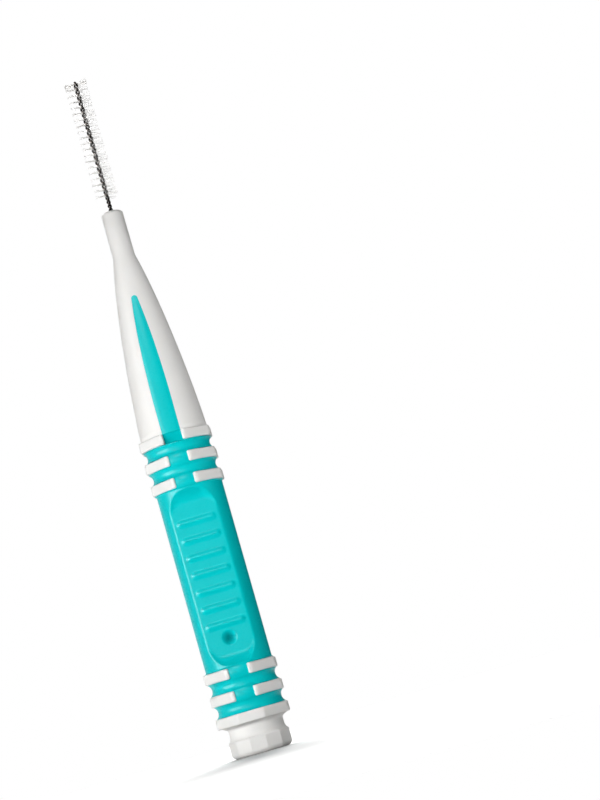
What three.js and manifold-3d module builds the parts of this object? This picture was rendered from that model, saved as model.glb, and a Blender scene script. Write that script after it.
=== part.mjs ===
// Eyelash brush: a micro brush of nylon strands held in a twisted steel wire, on a two-shot moulded handle.
// The hard white core carries the neck, the ribs and the faceted foot. The soft grip is moulded round it.
// Millimetres. The foot stands on z = 0, the axis is +Z, and the thumb pad with the gate dimple faces -Y.
import * as THREE from "three";
import { mergeVertices } from "three/addons/utils/BufferGeometryUtils.js";
import Module from "manifold-3d";

const wasm = await Module();
wasm.setup();

// Heights along the axis, from the foot up
const footHeight = 2.05;
const snapGrooveHeight = 1.57;
const flangeHeight = 1.18;
const ribHeight = 1.17;
const scallopHeight = 1.36;
const gripLength = 20.72;
const coneLength = 21.44;
const neckLength = 5.55;
const wireReach = 16.2;

// Foot and the groove that a cap snaps over
const footSides = 12;
const footRadius = 3.54;
const footBottomRound = 0.6;
const footTopRound = 0.2;
const snapGrooveRadius = 3.12;
const snapGrooveFillet = 0.2;
const flangeUnderslope = 0.34;
const flangeUnderReach = 0.66;

// Grip, ribs and the front and back strips where the soft moulding runs through the ribs
const gripRadius = 3.82;
const ribProud = 0.28;
const ribFaceWidth = 3.0;
const ribCornerRadius = 0.5;
const ribEdgeRound = 0.15;
const ribsPerEnd = 2;
const stripWidth = 2.14;
const stripInset = 0.1;
const scallopDepth = 0.33;

// Thumb pads: a flat let into the grip at the front and the back, with ridges across it
const padDepth = 1.08;
const padBottomMargin = 0.2;
const padTopMargin = 0.38;
const padEndCove = 1.6;
const padCornerRadius = 1.6;
const padSideMargin = 0.08;
const padSkin = 0.9;
const ridgeCount = 7;
const ridgePitch = 1.98;
const ridgeRadius = 0.6;
const ridgeHeight = 0.26;
const ridgeEndMargin = 0.28;
const ridgesAbovePadCentre = 0.52;
const dimpleRadius = 0.75;
const dimpleFloorRadius = 0.45;
const dimpleRimRadius = 0.95;
const dimpleRimDepth = 0.15;
const dimpleSkin = 0.2;
const dimpleBelowRidges = 1.58;

// Cone, neck and the tongues of the grip that lie in the cone's channels
const collarStep = 0.2;
const coneTopRadius = 1.29;
const coneTopSlope = 0.246;
const coneTopReach = 5.78;
const coneBaseSlope = 0.036;
const coneBaseReach = 5.33;
const neckTopRadius = 1.26;
const neckChamferWidth = 0.42;
const neckChamferHeight = 0.33;
const neckEdgeFullness = 0.7;
const tongueStraight = 4.2;
const tongueBendReach = 7.0;
const tongueBendWidth = 2.0;
const tongueTipWidth = 0.5;
const tongueShortOfNeck = 5.0;
const tongueDepth = 0.75;
const tongueInset = 0.05;
const collarPocketDepth = 0.5;
const collarPocketTopDepth = 0.3;

// Wire and strands
const wireDiameter = 0.24;
const wireAnchor = 5.0;
const bareLength = 1.7;
const barePitch = 0.97;
const bristlePitch = 1.46;
const bareLegGap = 0.03;
const legSpread = 0.35;
const bristleDiameter = 2.74;
const strandThickness = 0.05;
const strandPitch = 0.083;
const strandRoot = 0.13;
const strandTopMargin = 0.35;
const tipLean = 0.32;
const tipLeanReach = 1.1;
const bristleNodes = ["lower_bristles", "middle_bristles", "upper_bristles", "tip_bristles"];

// Clearances: between the two mouldings, round the wire in its bore, and beside the strands
const mouldGap = 0.04;
const wireBoreGap = 0.05;
const strandClearance = 0.018;

// Facet counts
const roundSides = 32;
const cornerSteps = 2;
const filletSteps = 4;
const scallopSteps = 6;
const coneSteps = 14;
const ridgeSides = 12;
const ridgeEndSteps = 3;
const mergeDistance = 1e-5;
const wireSamples = 4000;
const wireSides = 6;
const wireStep = 0.185;
const overrun = 1.0;

// Levels that follow from the heights
const flangeBottom = footHeight + snapGrooveHeight;
const flangeTop = flangeBottom + flangeHeight;
const ribStep = ribHeight + scallopHeight;
const gripBottom = flangeTop + ribsPerEnd * ribStep;
const gripTop = gripBottom + gripLength;
const collarBottom = gripTop + ribsPerEnd * ribStep;
const collarTop = collarBottom + ribHeight;
const coneTop = collarTop + coneLength;
const neckTop = coneTop + neckLength;
const wireTip = neckTop + wireReach;
const lowerRibs = Array.from({ length: ribsPerEnd }, (_, i) => flangeTop + scallopHeight + i * ribStep);
const upperRibs = Array.from({ length: ribsPerEnd }, (_, i) => gripTop + i * ribStep);
const ribBottoms = [...lowerRibs, ...upperRibs];

// Sizes that follow from others
const ribFlat = gripRadius + ribProud;
const padFloor = gripRadius - padDepth;
const padHalfWidth = Math.sqrt(gripRadius ** 2 - padFloor ** 2);
const padHalfLength = (gripLength - padBottomMargin - padTopMargin) / 2;
const padMiddle = gripBottom + padBottomMargin + padHalfLength;
const rodRadius = padFloor - padSkin;
const coneBaseRadius = ribFlat - collarStep;
const bristleLegGap = strandThickness + 2 * strandClearance;
const outside = 2 * ribFlat;

const plasticWhite = { color: 0xe9e8e6, roughness: 0.45, metalness: 0 };
const softTeal = { color: 0x00c4c8, roughness: 0.55, metalness: 0 };
const wireSteel = { color: 0x6b6560, roughness: 0.3, metalness: 1 };
const nylonClear = { color: 0xdedcd6, roughness: 0.4, metalness: 0 };

// A closed geometry as a solid, with only its positions kept and shared vertices merged.
function solid(geometry) {
  const bare = geometry.index ? geometry.toNonIndexed() : geometry.clone();
  bare.deleteAttribute("normal");
  bare.deleteAttribute("uv");
  const merged = mergeVertices(bare, mergeDistance);
  return new wasm.Manifold(
    new wasm.Mesh({
      numProp: 3,
      vertProperties: merged.attributes.position.array,
      triVerts: new Uint32Array(merged.index.array),
    }),
  );
}

// A solid as a named mesh with its own material.
function meshOf(name, body, finish) {
  const made = body.getMesh();
  const geometry = new THREE.BufferGeometry();
  geometry.setAttribute("position", new THREE.BufferAttribute(made.vertProperties, made.numProp));
  geometry.setIndex(new THREE.BufferAttribute(made.triVerts, 1));
  return named(name, geometry, finish);
}

function named(name, geometry, finish) {
  geometry.computeVertexNormals();
  const mesh = new THREE.Mesh(geometry, new THREE.MeshStandardMaterial(finish));
  mesh.name = name;
  return mesh;
}

// A solid through convex outlines of equal point count, each at its own height.
function loft(sections) {
  const count = sections[0].outline.length;
  const positions = sections.flatMap(({ outline, z }) => outline.flatMap((p) => [p.x, p.y, z]));
  const faces = [];
  for (let s = 0; s + 1 < sections.length; s++) {
    for (let i = 0; i < count; i++) {
      const a = s * count + i;
      const b = s * count + ((i + 1) % count);
      faces.push(a, b, b + count, a, b + count, a + count);
    }
  }
  const top = (sections.length - 1) * count;
  for (let i = 1; i + 1 < count; i++) {
    faces.push(0, i + 1, i, top, top + i, top + i + 1);
  }
  const geometry = new THREE.BufferGeometry();
  geometry.setAttribute("position", new THREE.Float32BufferAttribute(positions, 3));
  geometry.setIndex(faces);
  return solid(geometry);
}

// A solid of revolution from a profile of radii and heights that starts and ends on the axis.
function turned(profile) {
  const lathe = new THREE.LatheGeometry(profile, roundSides);
  lathe.rotateX(Math.PI / 2);
  return solid(lathe);
}

function rod(radius, bottom, top) {
  const v = (r, z) => new THREE.Vector2(r, z);
  return turned([v(0, bottom), v(radius, bottom), v(radius, top), v(0, top)]);
}

// An outline in the X-Z plane pushed through the part along Y, from one depth to another.
function throughY(outline, from, to) {
  const push = { depth: to - from, bevelEnabled: false, curveSegments: filletSteps };
  const block = new THREE.ExtrudeGeometry(outline, push);
  block.rotateX(Math.PI / 2);
  block.translate(0, to, 0);
  return solid(block);
}

function box(xSize, ySize, bottom, top) {
  const block = new THREE.BoxGeometry(xSize, ySize, top - bottom);
  block.translate(0, 0, (bottom + top) / 2);
  return solid(block);
}

// The same shape turned half round, so that front and back are alike.
function frontAndBack(front) {
  return front.add(front.rotate([0, 0, 180]));
}

// The outline of the ribs: four faces square to X and Y, wider ones between them, and rounded corners.
function ribOutline(inset) {
  const eighth = Math.PI / 4;
  const square = ribFlat - inset - ribCornerRadius;
  const diagonal = (ribFlat + ribFaceWidth / 2) / Math.SQRT2 - inset - ribCornerRadius;
  const beside = Math.SQRT2 * diagonal - square;
  const outline = [];
  for (let corner = 0; corner < 8; corner++) {
    const middle = corner % 2 ? new THREE.Vector2(beside, square) : new THREE.Vector2(square, beside);
    middle.rotateAround(new THREE.Vector2(), Math.floor(corner / 2) * 2 * eighth);
    for (let step = 0; step <= cornerSteps; step++) {
      const angle = (corner + step / cornerSteps) * eighth;
      outline.push(new THREE.Vector2(
        middle.x + ribCornerRadius * Math.cos(angle),
        middle.y + ribCornerRadius * Math.sin(angle),
      ));
    }
  }
  return outline;
}

function regular(sides, radius) {
  return Array.from({ length: sides }, (_, i) => {
    const angle = ((i + 0.5) * 2 * Math.PI) / sides + Math.PI / 2;
    return new THREE.Vector2(radius * Math.cos(angle), radius * Math.sin(angle));
  });
}

// A disc of that outline with eased edges.
function ribDisc(bottom, top, grow = 0) {
  const edge = ribEdgeRound;
  return loft([
    { outline: ribOutline(edge - grow), z: bottom - grow },
    { outline: ribOutline(-grow), z: bottom - grow + edge },
    { outline: ribOutline(-grow), z: top + grow - edge },
    { outline: ribOutline(edge - grow), z: top + grow },
  ]);
}

// The cone's side, from its base on the collar to the neck, drawn in or out by an inset.
function coneSide(inset) {
  const curve = new THREE.CubicBezierCurve(
    new THREE.Vector2(coneBaseRadius - inset, collarTop),
    new THREE.Vector2(coneBaseRadius - inset - coneBaseSlope * coneBaseReach, collarTop + coneBaseReach),
    new THREE.Vector2(coneTopRadius - inset + coneTopSlope * coneTopReach, coneTop - coneTopReach),
    new THREE.Vector2(coneTopRadius - inset, coneTop),
  );
  return curve.getPoints(coneSteps);
}

function cone(inset) {
  const side = coneSide(inset);
  const foot = new THREE.Vector2(coneBaseRadius - inset, collarBottom);
  return turned([
    new THREE.Vector2(0, collarBottom),
    foot,
    ...side,
    new THREE.Vector2(0, coneTop),
  ]);
}

function neck() {
  const v = (r, z) => new THREE.Vector2(r, z);
  const slack = 1 - neckEdgeFullness;
  const chamfer = new THREE.QuadraticBezierCurve(
    v(neckTopRadius, neckTop - neckChamferHeight),
    v(neckTopRadius - neckChamferWidth * slack, neckTop - neckChamferHeight * slack),
    v(neckTopRadius - neckChamferWidth, neckTop),
  );
  return turned([
    v(0, coneTop - overrun),
    v(coneTopRadius, coneTop - overrun),
    v(coneTopRadius, coneTop),
    ...chamfer.getPoints(filletSteps),
    v(0, neckTop),
  ]);
}

// The outline of a tongue in the X-Z plane: straight above the collar, then curving in to a round tip.
function tongueOutline(grow) {
  const base = stripWidth / 2 + grow;
  const bend = tongueBendWidth / 2 + grow;
  const tip = tongueTipWidth / 2 + grow;
  const straightTop = collarTop + tongueStraight;
  const bendLevel = straightTop + tongueBendReach;
  const tipCentre = coneTop - tongueShortOfNeck - tongueTipWidth / 2;
  const outline = new THREE.Shape();
  outline.moveTo(-base, collarBottom - overrun);
  outline.lineTo(base, collarBottom - overrun);
  outline.lineTo(base, straightTop);
  outline.quadraticCurveTo(bend, bendLevel, tip, tipCentre);
  outline.absarc(0, tipCentre, tip, 0, Math.PI, false);
  outline.quadraticCurveTo(-bend, bendLevel, -base, straightTop);
  outline.closePath();
  return outline;
}

function tonguePrism(grow) {
  return frontAndBack(throughY(tongueOutline(grow), -outside, 0));
}

// Foot: a twelve-sided prism with a flat front, rounded below and eased above.
function foot() {
  const sections = [];
  for (let i = 0; i <= filletSteps; i++) {
    const angle = ((i / filletSteps) * Math.PI) / 2;
    sections.push({
      outline: regular(footSides, footRadius - footBottomRound * (1 - Math.sin(angle))),
      z: footBottomRound * (1 - Math.cos(angle)),
    });
  }
  sections.push({ outline: regular(footSides, footRadius), z: footHeight - footTopRound });
  sections.push({ outline: regular(footSides, footRadius - footTopRound), z: footHeight });
  return loft(sections);
}

// The groove above the foot, which slants out to the flange above it.
function snapGroove() {
  const v = (r, z) => new THREE.Vector2(r, z);
  const knee = v(snapGrooveRadius, flangeBottom - flangeUnderslope);
  const rim = v(snapGrooveRadius + flangeUnderReach, flangeBottom);
  const below = v(knee.x, knee.y - snapGrooveFillet);
  const beyond = rim.clone().sub(knee).setLength(snapGrooveFillet).add(knee);
  const fillet = new THREE.QuadraticBezierCurve(below, knee, beyond).getPoints(filletSteps);
  const bottom = footHeight / 2;
  const top = flangeBottom + flangeHeight / 2;
  return turned([v(0, bottom), v(snapGrooveRadius, bottom), ...fillet, rim, v(rim.x, top), v(0, top)]);
}

// What the soft grip flows round: the rod, the notched ribs and collar, and the whole flange.
function carrier(grow) {
  const notch = box(stripWidth - 2 * grow, 2 * outside, flangeTop + scallopHeight / 2, collarTop + overrun);
  let ribs = ribDisc(collarBottom, collarTop, grow);
  for (const bottom of ribBottoms) {
    ribs = ribs.add(ribDisc(bottom, bottom + ribHeight, grow));
  }
  return ribs
    .subtract(notch)
    .add(rod(rodRadius + grow, flangeBottom, collarTop))
    .add(ribDisc(flangeBottom, flangeTop, grow));
}

function handleCore() {
  const coneBody = cone(0).subtract(tonguePrism(0)).add(cone(tongueDepth));
  const legOut = bareLegGap / 2 + wireDiameter;
  const bore = rod(legOut + wireBoreGap, neckTop - wireAnchor - wireBoreGap, neckTop + overrun);
  return carrier(0).add(foot()).add(snapGroove()).add(coneBody).add(neck()).subtract(bore);
}

// The soft moulding's outside: the grip between the two rib zones, drawn in to a scallop between the ribs.
function softOutside() {
  const v = (r, z) => new THREE.Vector2(r, z);
  const stripRadius = ribFlat - stripInset;
  const half = scallopHeight / 2;
  const arc = (half ** 2 + scallopDepth ** 2) / (2 * scallopDepth);
  const scallop = (bottom) => {
    const points = [];
    for (let step = 0; step <= scallopSteps; step++) {
      const along = half * ((2 * step) / scallopSteps - 1);
      const hollow = Math.sqrt(arc ** 2 - along ** 2) - (arc - scallopDepth);
      points.push(v(stripRadius - hollow, bottom + half + along));
    }
    return points;
  };
  return turned([
    v(0, flangeTop),
    ...lowerRibs.flatMap((rib) => scallop(rib - scallopHeight)),
    v(stripRadius, gripBottom),
    v(gripRadius, gripBottom),
    v(gripRadius, gripTop),
    v(stripRadius, gripTop),
    ...upperRibs.flatMap((rib) => scallop(rib + ribHeight)),
    v(0, collarBottom),
  ]);
}

// The cut of a thumb pad: straight sides, and ends that curve down to the flat floor.
function padCut() {
  const reach = padHalfWidth + padSideMargin;
  const outlineAt = (halfLength) => {
    const round = padCornerRadius;
    const path = new THREE.Path();
    path.absarc(reach - round, halfLength - round, round, 0, Math.PI / 2, false);
    path.absarc(round - reach, halfLength - round, round, Math.PI / 2, Math.PI, false);
    path.absarc(round - reach, round - halfLength, round, Math.PI, 1.5 * Math.PI, false);
    path.absarc(reach - round, round - halfLength, round, 1.5 * Math.PI, 2 * Math.PI, false);
    path.closePath();
    const points = path.getPoints(filletSteps);
    points.pop();
    return points;
  };
  const sections = [];
  for (let i = 0; i <= filletSteps; i++) {
    const rise = i / filletSteps;
    sections.push({
      outline: outlineAt(padHalfLength - padEndCove * (1 - rise)),
      z: padFloor + padDepth * rise ** 2,
    });
  }
  sections.push({ outline: outlineAt(padHalfLength), z: gripRadius + overrun });
  return loft(sections).rotate([90, 0, 0]).translate([0, 0, padMiddle]);
}

function ridges() {
  const middle = padMiddle + ridgesAbovePadCentre;
  const length = 2 * (padHalfWidth - ridgeEndMargin - ridgeRadius);
  const bars = [];
  for (let i = 0; i < ridgeCount; i++) {
    const bar = new THREE.CapsuleGeometry(ridgeRadius, length, ridgeEndSteps, ridgeSides);
    bar.rotateZ(Math.PI / 2);
    bar.translate(0, -padFloor - ridgeHeight + ridgeRadius, middle + (i - (ridgeCount - 1) / 2) * ridgePitch);
    bars.push(solid(bar));
  }
  return wasm.Manifold.union(bars);
}

// The gate dimple below the lowest ridge: a round hole with a wider, shallow rim.
function dimple() {
  const middle = padMiddle + ridgesAbovePadCentre;
  const z = middle - ((ridgeCount - 1) / 2) * ridgePitch - dimpleBelowRidges;
  const floor = rodRadius + mouldGap + dimpleSkin;
  const v = (r, h) => new THREE.Vector2(r, h);
  const hole = turned([
    v(0, floor),
    v(dimpleFloorRadius, floor),
    v(dimpleRadius, padFloor - dimpleRimDepth),
    v(dimpleRimRadius, padFloor),
    v(dimpleRimRadius, padFloor + overrun),
    v(0, padFloor + overrun),
  ]);
  return hole.rotate([90, 0, 0]).translate([0, 0, z]);
}

// The tongues, and below each a pocket that slants inwards in the collar's notch.
function tongues() {
  const slab = (depth) => {
    const half = ribFlat - stripInset - depth;
    return [[-1, -1], [1, -1], [1, 1], [-1, 1]].map(([x, y]) => new THREE.Vector2(x * stripWidth, y * half));
  };
  const pocket = loft([
    { outline: slab(collarPocketDepth), z: collarBottom - overrun },
    { outline: slab(collarPocketDepth), z: collarBottom },
    { outline: slab(collarPocketTopDepth), z: collarTop },
  ])
    .add(box(outside, 2 * outside, collarTop, coneTop))
    .add(box(outside, 2 * outside, collarBottom - 2 * overrun, collarBottom - mouldGap));
  return tonguePrism(-mouldGap)
    .intersect(cone(tongueInset).add(rod(ribFlat - stripInset, collarBottom - overrun, collarTop)))
    .subtract(cone(tongueDepth - mouldGap))
    .intersect(pocket);
}

function softGrip() {
  return softOutside()
    .add(tongues())
    .subtract(frontAndBack(padCut()))
    .add(frontAndBack(ridges()))
    .subtract(dimple())
    .subtract(carrier(mouldGap));
}

// Wire: one length folded at the tip and twisted on itself, left-handed, wider where it grips the strands.
const bareTop = neckTop + bareLength;
const legRadius = (z) => {
  const bare = (wireDiameter + bareLegGap) / 2;
  const gripping = (wireDiameter + bristleLegGap) / 2;
  return THREE.MathUtils.lerp(bare, gripping, THREE.MathUtils.smoothstep(z, bareTop - legSpread, bareTop));
};
const twist = (z) => (-2 * Math.PI * (z - bareTop)) / (z < bareTop ? barePitch : bristlePitch);
const foldRadius = legRadius(wireTip);
const foldBottom = wireTip - wireDiameter / 2 - foldRadius;
const wireTail = neckTop - wireAnchor;

class TwistedWire extends THREE.Curve {
  getPoint(t, target = new THREE.Vector3()) {
    const rise = foldBottom - wireTail;
    const fold = Math.PI * foldRadius;
    const along = t * (2 * rise + fold);
    let z = wireTail + along;
    let out = legRadius(z);
    if (along > rise + fold) {
      z = foldBottom - (along - rise - fold);
      out = -legRadius(z);
    } else if (along > rise) {
      const angle = (along - rise) / foldRadius;
      z = foldBottom + foldRadius * Math.sin(angle);
      out = foldRadius * Math.cos(angle);
    }
    return target.set(out * Math.cos(twist(z)), out * Math.sin(twist(z)), z);
  }
}

function twistedWire() {
  const path = new TwistedWire();
  path.arcLengthDivisions = wireSamples;
  const section = new THREE.Shape(regular(wireSides, wireDiameter / 2));
  const steps = Math.round(path.getLength() / wireStep);
  return solid(new THREE.ExtrudeGeometry(section, { extrudePath: path, steps }));
}

// Strands: each passes between the wire's legs and stands out on both sides. A thin ribbon joins them.
function bristles(heights) {
  const positions = [];
  const faces = [];
  const half = strandThickness / 2;
  const lean = (z) => {
    const near = THREE.MathUtils.clamp((z - wireTip + strandTopMargin + tipLeanReach) / tipLeanReach, 0, 1);
    return tipLean * near * near;
  };
  const vertex = (turn, out, side, z) => {
    const [c, s] = [Math.cos(turn), Math.sin(turn)];
    positions.push(-out * s - side * c, out * c - side * s, z);
    return positions.length / 3 - 1;
  };
  const quad = (a, b, c, d) => faces.push(a, b, c, a, c, d);
  const ring = (z) => [
    vertex(twist(z), strandRoot, half, z),
    vertex(twist(z), -strandRoot, half, z),
    vertex(twist(z), -strandRoot, -half, z),
    vertex(twist(z), strandRoot, -half, z),
  ];
  const strand = (root, z, out) => {
    const tip = root.map((_, i) => {
      const side = (i === 0 || i === 3 ? -1 : 1) * Math.sign(out) * half;
      return vertex(twist(z), out, side, z + lean(z) + (i < 2 ? -half : half));
    });
    root.forEach((_, i) => quad(root[i], root[(i + 1) % 4], tip[(i + 1) % 4], tip[i]));
    quad(...tip);
  };
  let below = null;
  for (const z of heights) {
    const low = ring(z - half);
    const high = ring(z + half);
    if (below) {
      low.forEach((_, i) => quad(below[i], below[(i + 1) % 4], low[(i + 1) % 4], low[i]));
    } else {
      quad(low[3], low[2], low[1], low[0]);
    }
    quad(low[0], low[1], high[1], high[0]);
    quad(low[2], low[3], high[3], high[2]);
    strand([low[3], low[0], high[0], high[3]], z, bristleDiameter / 2);
    strand([low[1], low[2], high[2], high[1]], z, -bristleDiameter / 2);
    below = high;
  }
  quad(...below);
  const geometry = new THREE.BufferGeometry();
  geometry.setAttribute("position", new THREE.Float32BufferAttribute(positions, 3));
  geometry.setIndex(faces);
  return geometry;
}

const brush = new THREE.Group();
brush.name = "eyelash_brush";
brush.add(meshOf("handle_core", handleCore(), plasticWhite));
brush.add(meshOf("soft_grip", softGrip(), softTeal));
brush.add(meshOf("twisted_wire", twistedWire(), wireSteel));

const bristleTop = foldBottom - strandTopMargin;
const strandCount = Math.floor((bristleTop - bareTop) / strandPitch);
const strandHeights = Array.from({ length: strandCount }, (_, i) => bareTop + (i + 0.5) * strandPitch);
bristleNodes.forEach((name, i) => {
  const from = Math.round((i * strandCount) / bristleNodes.length);
  const to = Math.round(((i + 1) * strandCount) / bristleNodes.length);
  brush.add(named(name, bristles(strandHeights.slice(from, to)), nylonClear));
});
console.log(`${2 * strandCount} strand ends on ${strandCount} strands`);

export default brush;
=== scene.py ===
import math
import random

import bmesh
import bpy
from mathutils import Matrix, Vector


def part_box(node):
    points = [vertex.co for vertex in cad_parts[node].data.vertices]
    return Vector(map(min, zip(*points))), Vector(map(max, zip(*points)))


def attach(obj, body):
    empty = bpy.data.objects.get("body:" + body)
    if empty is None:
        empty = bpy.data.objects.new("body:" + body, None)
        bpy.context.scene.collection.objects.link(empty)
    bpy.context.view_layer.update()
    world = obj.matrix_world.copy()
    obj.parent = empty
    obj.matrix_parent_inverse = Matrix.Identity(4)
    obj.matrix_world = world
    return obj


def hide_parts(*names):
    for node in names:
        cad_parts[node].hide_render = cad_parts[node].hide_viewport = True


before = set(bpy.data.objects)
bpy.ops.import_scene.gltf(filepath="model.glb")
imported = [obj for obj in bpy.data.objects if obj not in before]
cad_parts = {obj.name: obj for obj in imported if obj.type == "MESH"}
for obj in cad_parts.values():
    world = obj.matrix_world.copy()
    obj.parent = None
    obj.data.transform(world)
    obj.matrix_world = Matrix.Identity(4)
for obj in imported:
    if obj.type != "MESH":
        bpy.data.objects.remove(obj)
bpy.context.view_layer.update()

bpy.context.scene.view_settings.view_transform = "Standard"


# The twisted wire
# One length of drawn stainless steel, folded at the tip and twisted on itself, left-handed.
# Its two legs clamp the strands between them, and its tail is moulded into the neck of the handle.
# Sizes here and below are in millimetres, and a mesh is scaled to metres once, when its object is made.
MM = 0.001
WIRE_RADIUS = 0.12
BARE_TOP = 65.5
BARE_PITCH = 0.97
BRISTLE_PITCH = 1.46
BARE_LEG_OFFSET = 0.135
BRISTLE_LEG_OFFSET = 0.163
LEG_SPREAD = 0.35
WIRE_STEP = 0.05
FOLD_STEPS = 16
WIRE_BEVEL_RESOLUTION = 4

wire_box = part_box("twisted_wire")
wire_tail = wire_box[0].z / MM
wire_tip = wire_box[1].z / MM
fold_level = wire_tip - WIRE_RADIUS - BRISTLE_LEG_OFFSET


def smooth_step(low, high, value):
    share = min(1.0, max(0.0, (value - low) / (high - low)))
    return share * share * (3.0 - 2.0 * share)


def twist(level):
    pitch = BRISTLE_PITCH if level > BARE_TOP else BARE_PITCH
    return -2.0 * math.pi * (level - BARE_TOP) / pitch


def leg_offset(level):
    spread = smooth_step(BARE_TOP, BARE_TOP + LEG_SPREAD, level)
    return BARE_LEG_OFFSET + (BRISTLE_LEG_OFFSET - BARE_LEG_OFFSET) * spread


def wire_point(offset, level):
    angle = twist(level)
    return Vector((offset * math.cos(angle), offset * math.sin(angle), level))


leg_steps = round((fold_level - wire_tail) / WIRE_STEP)
leg_levels = [wire_tail + (fold_level - wire_tail) * i / leg_steps for i in range(leg_steps)]
wire_path = [wire_point(leg_offset(level), level) for level in leg_levels]
for i in range(FOLD_STEPS + 1):
    angle = math.pi * i / FOLD_STEPS
    rise = BRISTLE_LEG_OFFSET * math.sin(angle)
    wire_path.append(wire_point(BRISTLE_LEG_OFFSET * math.cos(angle), fold_level + rise))
wire_path += [wire_point(-leg_offset(level), level) for level in reversed(leg_levels)]

wire_curve = bpy.data.curves.new("steel_wire", "CURVE")
wire_curve.dimensions = "3D"
wire_curve.bevel_depth = WIRE_RADIUS * MM
wire_curve.bevel_resolution = WIRE_BEVEL_RESOLUTION
wire_curve.use_fill_caps = True
wire_line = wire_curve.splines.new("POLY")
wire_line.points.add(len(wire_path) - 1)
for bead, spot in zip(wire_line.points, wire_path):
    bead.co = (*(spot * MM), 1.0)
wire_line.use_smooth = True
wire = bpy.data.objects.new("steel_wire", wire_curve)
bpy.context.scene.collection.objects.link(wire)


def linear(hex_colour):
    """The linear RGBA of an sRGB hex colour."""
    shares = [int(hex_colour[i:i + 2], 16) / 255.0 for i in (1, 3, 5)]
    bright = [s / 12.92 if s <= 0.04045 else ((s + 0.055) / 1.055) ** 2.4 for s in shares]
    return (*bright, 1.0)


def add(tree, kind, inputs, **settings):
    """Adds a node. An input, by its name or number, is a constant or a socket to link from."""
    node = tree.nodes.new(kind)
    for name, value in settings.items():
        setattr(node, name, value)
    for name, value in inputs.items():
        if isinstance(value, bpy.types.NodeSocket):
            tree.links.new(value, node.inputs[name])
        else:
            node.inputs[name].default_value = value
    return node


def new_material(name):
    """A material with an empty node tree, and the tree."""
    material = bpy.data.materials.new(name)
    material.use_nodes = True
    material.node_tree.nodes.clear()
    return material, material.node_tree


def object_place(tree):
    """The socket of a point's place on its piece, in metres."""
    return add(tree, "ShaderNodeTexCoord", {}).outputs["Object"]


def clouds(tree, size, detail=2.0):
    """The socket of a cloudy value from 0 to 1, its clouds about as large as a size in millimetres."""
    noise = add(tree, "ShaderNodeTexNoise", {
        "Vector": object_place(tree),
        "Scale": 1.0 / (size * MM),
        "Detail": detail,
    })
    return noise.outputs["Fac"]


def blend(tree, share, first, second):
    """The socket of a colour that goes from the first to the second with the share."""
    mix = add(tree, "ShaderNodeMix", {"Factor": share, 6: first, 7: second}, data_type="RGBA")
    return mix.outputs[2]


def spread(tree, share, ends):
    """The socket of a value that goes from one end to the other with the share."""
    span = add(tree, "ShaderNodeMapRange", {"Value": share, "To Min": ends[0], "To Max": ends[1]})
    return span.outputs["Result"]


# Drawn stainless steel with hard glints, darkest in the crease between the legs. Its colour is painted
# near black, a painted reflection of dark surroundings in place of the white ones around it.
# Cloudy changes of colour and gloss, about a wire's width long, break the highlight up.
STEEL_LIGHT = "#262321"
STEEL_DARK = "#110f0e"
STEEL_CLOUD = 0.25
STEEL_GLOSS = (0.12, 0.26)

steel, tree = new_material("drawn_stainless_steel")
cloud = clouds(tree, STEEL_CLOUD)
metal = add(tree, "ShaderNodeBsdfPrincipled", {
    "Base Color": blend(tree, cloud, linear(STEEL_DARK), linear(STEEL_LIGHT)),
    "Roughness": spread(tree, cloud, STEEL_GLOSS),
    "Metallic": 1.0,
})
add(tree, "ShaderNodeOutputMaterial", {"Surface": metal.outputs["BSDF"]})
wire_curve.materials.append(steel)

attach(wire, "root")
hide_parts("twisted_wire")


# The nylon strands
# Clear nylon monofilament, each strand crossing between the wire's legs and held there by the twist.
# They stand in one spiral sheet, cut round after twisting, with a thicker tuft under the folded tip.
STRAND_RADIUS = 0.015
STRAND_SIDES = 5
STRAND_REACH = 1.34
REACH_CHANGE = 0.05
STRANDS_PER_TURN = 40
STRAND_TOP_MARGIN = 0.75
STRAND_DRIFT = 0.05
STRAND_SWAY = 0.1
STRAND_LIFT = 0.11
STRAND_RINGS = (0.35, 0.7)
STRAND_SEED = 11
CUT_BULGE = 1.2
CUT_LENGTH = 0.05
CUT_TINT_LENGTHS = 1.6
TUFT_LEVELS = (79.4, 79.7)
TUFT_STRANDS = 26
TUFT_TURN = -90.0
TUFT_FAN = 0.2
TUFT_LIFT = 0.1
TUFT_RISE = (-0.1, 0.4)
MERGE = 1e-5
bristle_nodes = ("lower_bristles", "middle_bristles", "upper_bristles", "tip_bristles")


def turned(profile, steps):
    """A solid turned about Z from (radius, level) points that start and end on the axis."""
    shape = bmesh.new()
    points = [shape.verts.new((radius, 0.0, level)) for radius, level in profile]
    lines = [shape.edges.new(pair) for pair in zip(points, points[1:])]
    bmesh.ops.spin(shape, geom=points + lines, cent=(0, 0, 0), axis=(0, 0, 1),
                   angle=2.0 * math.pi, steps=steps, use_merge=True)
    bmesh.ops.remove_doubles(shape, verts=shape.verts, dist=MERGE)
    bmesh.ops.recalc_face_normals(shape, faces=shape.faces)
    return shape


def finished(name, shape, materials, sharp_angle):
    """An object at the origin from a shape in millimetres, smooth apart from its sharp edges."""
    bmesh.ops.scale(shape, vec=(MM, MM, MM), verts=shape.verts)
    mesh = bpy.data.meshes.new(name)
    shape.to_mesh(mesh)
    shape.free()
    for material in materials:
        mesh.materials.append(material)
    mesh.polygons.foreach_set("use_smooth", [True] * len(mesh.polygons))
    mesh.set_sharp_from_angle(angle=math.radians(sharp_angle))
    piece = bpy.data.objects.new(name, mesh)
    bpy.context.scene.collection.objects.link(piece)
    return piece


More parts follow.
